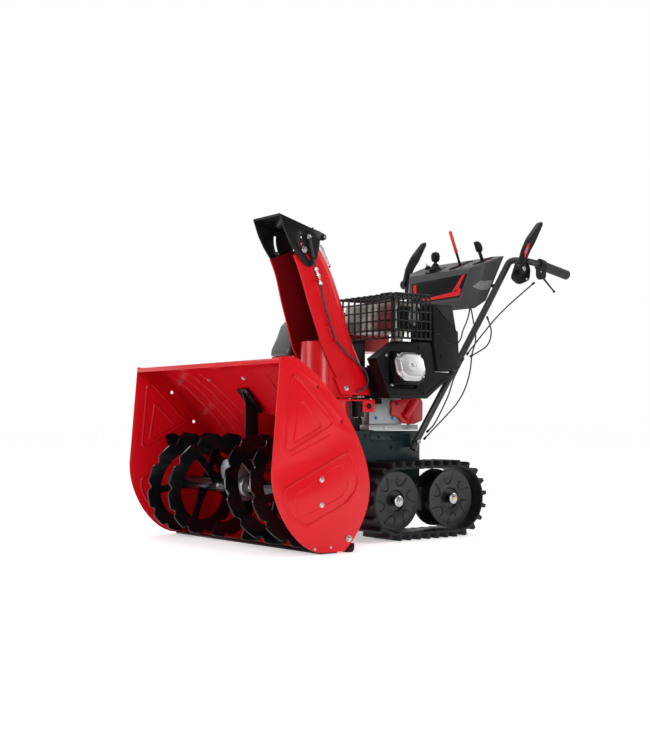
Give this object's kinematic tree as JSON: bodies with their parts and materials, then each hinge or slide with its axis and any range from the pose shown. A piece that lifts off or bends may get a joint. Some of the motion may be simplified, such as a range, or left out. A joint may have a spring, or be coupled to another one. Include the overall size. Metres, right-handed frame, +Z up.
{
  "type": "two stage snow thrower",
  "caption": "Tracked two-stage snow thrower with toothed augers, impeller, turning chute with tilting hood, engine, rubber tracks and handlebar controls.",
  "frame": {"origin": "middle of the overall box, on the ground", "axes": "-Y towards the front, +X towards the machine's left side, +Z up"},
  "size_m": [0.846, 1.3502, 1.072],
  "materials": {
    "housing_red": "gloss",
    "body_red": "gloss",
    "black_steel": "satin",
    "zinc": "satin",
    "cast": "rough",
    "alu": "cast",
    "auger_black": "gloss",
    "dark_steel": "satin",
    "bronze": "satin",
    "cable_sheath": "satin",
    "hood_black": "satin",
    "black_plastic": "matte",
    "chassis_grey": "satin",
    "silver_paint": "satin",
    "belt_rubber": "matte",
    "alu_bright": "satin",
    "engine_red": "gloss",
    "steel": "satin",
    "lamp_grey": "satin",
    "wheel_grey": "painted satin",
    "track_rubber": "matte",
    "tube_grey": "satin",
    "console_grey": "satin",
    "grip_rubber": "matte",
    "lever_red": "gloss"
  },
  "bodies": {
    "chassis": {"chassis": "chassis_grey", "auger_housing": "housing_red", "side_plates": "body_red", "control_cables": "belt_rubber", "impeller_drum": "housing_red", "wear_parts": "black_steel", "housing_bolts": "zinc", "auger_bearings": "cast", "gearbox_strut": "black_steel", "auger_gearbox": "alu", "chute_motor": "black_plastic", "engine_bed": "silver_paint", "transmission": "alu", "belt_case": "chassis_grey", "drive_belt": "belt_rubber", "crankcase": "alu", "cylinder_block": "black_steel", "head_cover": "alu_bright", "engine_shroud": "black_plastic", "fan_cover": "engine_red", "fuel_tank": "engine_red", "muffler": "steel", "muffler_guard": "black_steel", "air_box": "black_plastic", "front_cover": "body_red", "headlight": "lamp_grey", "handlebars": "tube_grey", "console": "console_grey", "grips": "grip_rubber"},
    "auger": {"auger_left": "auger_black", "auger_right": "auger_black", "auger_shaft": "dark_steel", "worm_wheel": "bronze"},
    "impeller": {"impeller": "auger_black", "impeller_shaft": "dark_steel", "impeller_pulley": "cast"},
    "crank": {"crank_pulley": "cast"},
    "chute": {"chute": "body_red", "chute_base": "body_red", "chute_bolts": "zinc", "chute_cable": "cable_sheath", "hood_spring": "zinc"},
    "hood": {"hood": "hood_black"},
    "chute_pinion": {"chute_pinion": "dark_steel"},
    "track_frame": {"track_frame": "black_steel", "track_left": "track_rubber", "track_right": "track_rubber"},
    "sprocket_left": {"sprocket_left": "wheel_grey"},
    "sprocket_right": {"sprocket_right": "wheel_grey"},
    "idler_left": {"idler_left": "wheel_grey"},
    "idler_right": {"idler_right": "wheel_grey"},
    "paddle_left": {"paddle_left": "black_plastic"},
    "paddle_right": {"paddle_right": "black_plastic"},
    "height_trigger": {"height_trigger": "black_plastic"},
    "joystick_gimbal": {"joystick_gimbal": "dark_steel"},
    "joystick": {"joystick": "black_plastic"},
    "speed_lever": {"speed_lever": "lever_red"},
    "shift_lever": {"shift_lever": "black_plastic"},
    "fuel_cap": {"fuel_cap": "black_plastic"},
    "recoil_handle": {"recoil_handle": "black_plastic"}
  },
  "joints": [
    {"name": "impeller_spin", "type": "hinge", "parent": "chassis", "child": "impeller", "pos_m": [0, -0.3, 0.23], "axis": [0, 1, 0], "continuous": true},
    {"name": "auger_spin", "type": "hinge", "parent": "chassis", "child": "auger", "pos_m": [0, -0.502, 0.179], "axis": [1, 0, 0], "continuous": true},
    {"name": "crank_spin", "type": "hinge", "parent": "chassis", "child": "crank", "pos_m": [0, -0.05, 0.478], "axis": [0, 1, 0], "continuous": true},
    {"name": "chute_turn", "type": "hinge", "parent": "chassis", "child": "chute", "pos_m": [0.07, -0.228, 0.458], "axis": [0, 0, 1], "range_deg": [-100, 100]},
    {"name": "chute_pinion_spin", "type": "hinge", "parent": "chassis", "child": "chute_pinion", "pos_m": [0.124, -0.13447, 0.458], "axis": [0, 0, 1], "range_deg": [-510, 510]},
    {"name": "hood_tilt", "type": "hinge", "parent": "chute", "child": "hood", "pos_m": [0.07, -0.285, 0.962], "axis": [1, 0, 0], "range_deg": [-23, 33], "deforming": ["hood_spring"]},
    {"name": "height_adjust", "type": "hinge", "parent": "chassis", "child": "track_frame", "pos_m": [0, -0.066, 0.127], "axis": [1, 0, 0], "range_deg": [-4, 7]},
    {"name": "left_sprocket_spin", "type": "hinge", "parent": "track_frame", "child": "sprocket_left", "pos_m": [0.19, -0.066, 0.127], "axis": [1, 0, 0], "continuous": true},
    {"name": "right_sprocket_spin", "type": "hinge", "parent": "track_frame", "child": "sprocket_right", "pos_m": [-0.19, -0.066, 0.127], "axis": [1, 0, 0], "continuous": true},
    {"name": "left_idler_spin", "type": "hinge", "parent": "track_frame", "child": "idler_left", "pos_m": [0.19, 0.172, 0.127], "axis": [1, 0, 0], "continuous": true},
    {"name": "right_idler_spin", "type": "hinge", "parent": "track_frame", "child": "idler_right", "pos_m": [-0.19, 0.172, 0.127], "axis": [1, 0, 0], "continuous": true},
    {"name": "left_paddle", "type": "hinge", "parent": "chassis", "child": "paddle_left", "pos_m": [0.299, 0.438, 0.901], "axis": [1, 0, 0], "range_deg": [-22, 0], "stiffness_Nm_per_rad": 1, "springref_deg": 28.65},
    {"name": "right_paddle", "type": "hinge", "parent": "chassis", "child": "paddle_right", "pos_m": [-0.299, 0.438, 0.901], "axis": [1, 0, 0], "range_deg": [-22, 0], "stiffness_Nm_per_rad": 1, "springref_deg": 28.65},
    {"name": "height_trigger_pull", "type": "hinge", "parent": "chassis", "child": "height_trigger", "pos_m": [0.3, 0.536, 0.89], "axis": [1, 0, 0], "range_deg": [0, 22], "stiffness_Nm_per_rad": 0.3, "springref_deg": -17.19},
    {"name": "joystick_fore_aft", "type": "hinge", "parent": "chassis", "child": "joystick_gimbal", "pos_m": [-0.058, 0.372, 0.905], "axis": [1, 0, 0], "range_deg": [-15, 15], "stiffness_Nm_per_rad": 0.8},
    {"name": "joystick_side", "type": "hinge", "parent": "joystick_gimbal", "child": "joystick", "pos_m": [-0.058, 0.372, 0.905], "axis": [0, 1, 0], "range_deg": [-18, 18], "stiffness_Nm_per_rad": 0.8},
    {"name": "speed_lever_move", "type": "hinge", "parent": "chassis", "child": "speed_lever", "pos_m": [0.05, 0.4086, 0.896], "axis": [1, 0, 0], "range_deg": [-38, 12]},
    {"name": "shift_lever_move", "type": "hinge", "parent": "chassis", "child": "shift_lever", "pos_m": [0.143, 0.4335, 0.898], "axis": [1, 0, 0], "range_deg": [-36, 16]},
    {"name": "fuel_cap_turn", "type": "hinge", "parent": "chassis", "child": "fuel_cap", "pos_m": [-0.122, 0.06, 0.752], "axis": [0, 0, 1], "range_deg": [0, 120]},
    {"name": "recoil_pull", "type": "slide", "parent": "chassis", "child": "recoil_handle", "axis": [0, 1, 0], "range_m": [0, 0.4], "stiffness_N_per_m": 20, "springref_m": -0.4}
  ],
  "couplings": [
    {"joint": "auger_spin", "follows": "impeller_spin", "ratio": 0.055556},
    {"joint": "crank_spin", "follows": "impeller_spin", "ratio": 2.5},
    {"joint": "chute_pinion_spin", "follows": "chute_turn", "ratio": -5},
    {"joint": "left_idler_spin", "follows": "left_sprocket_spin", "ratio": 1},
    {"joint": "right_idler_spin", "follows": "right_sprocket_spin", "ratio": 1}
  ]
}
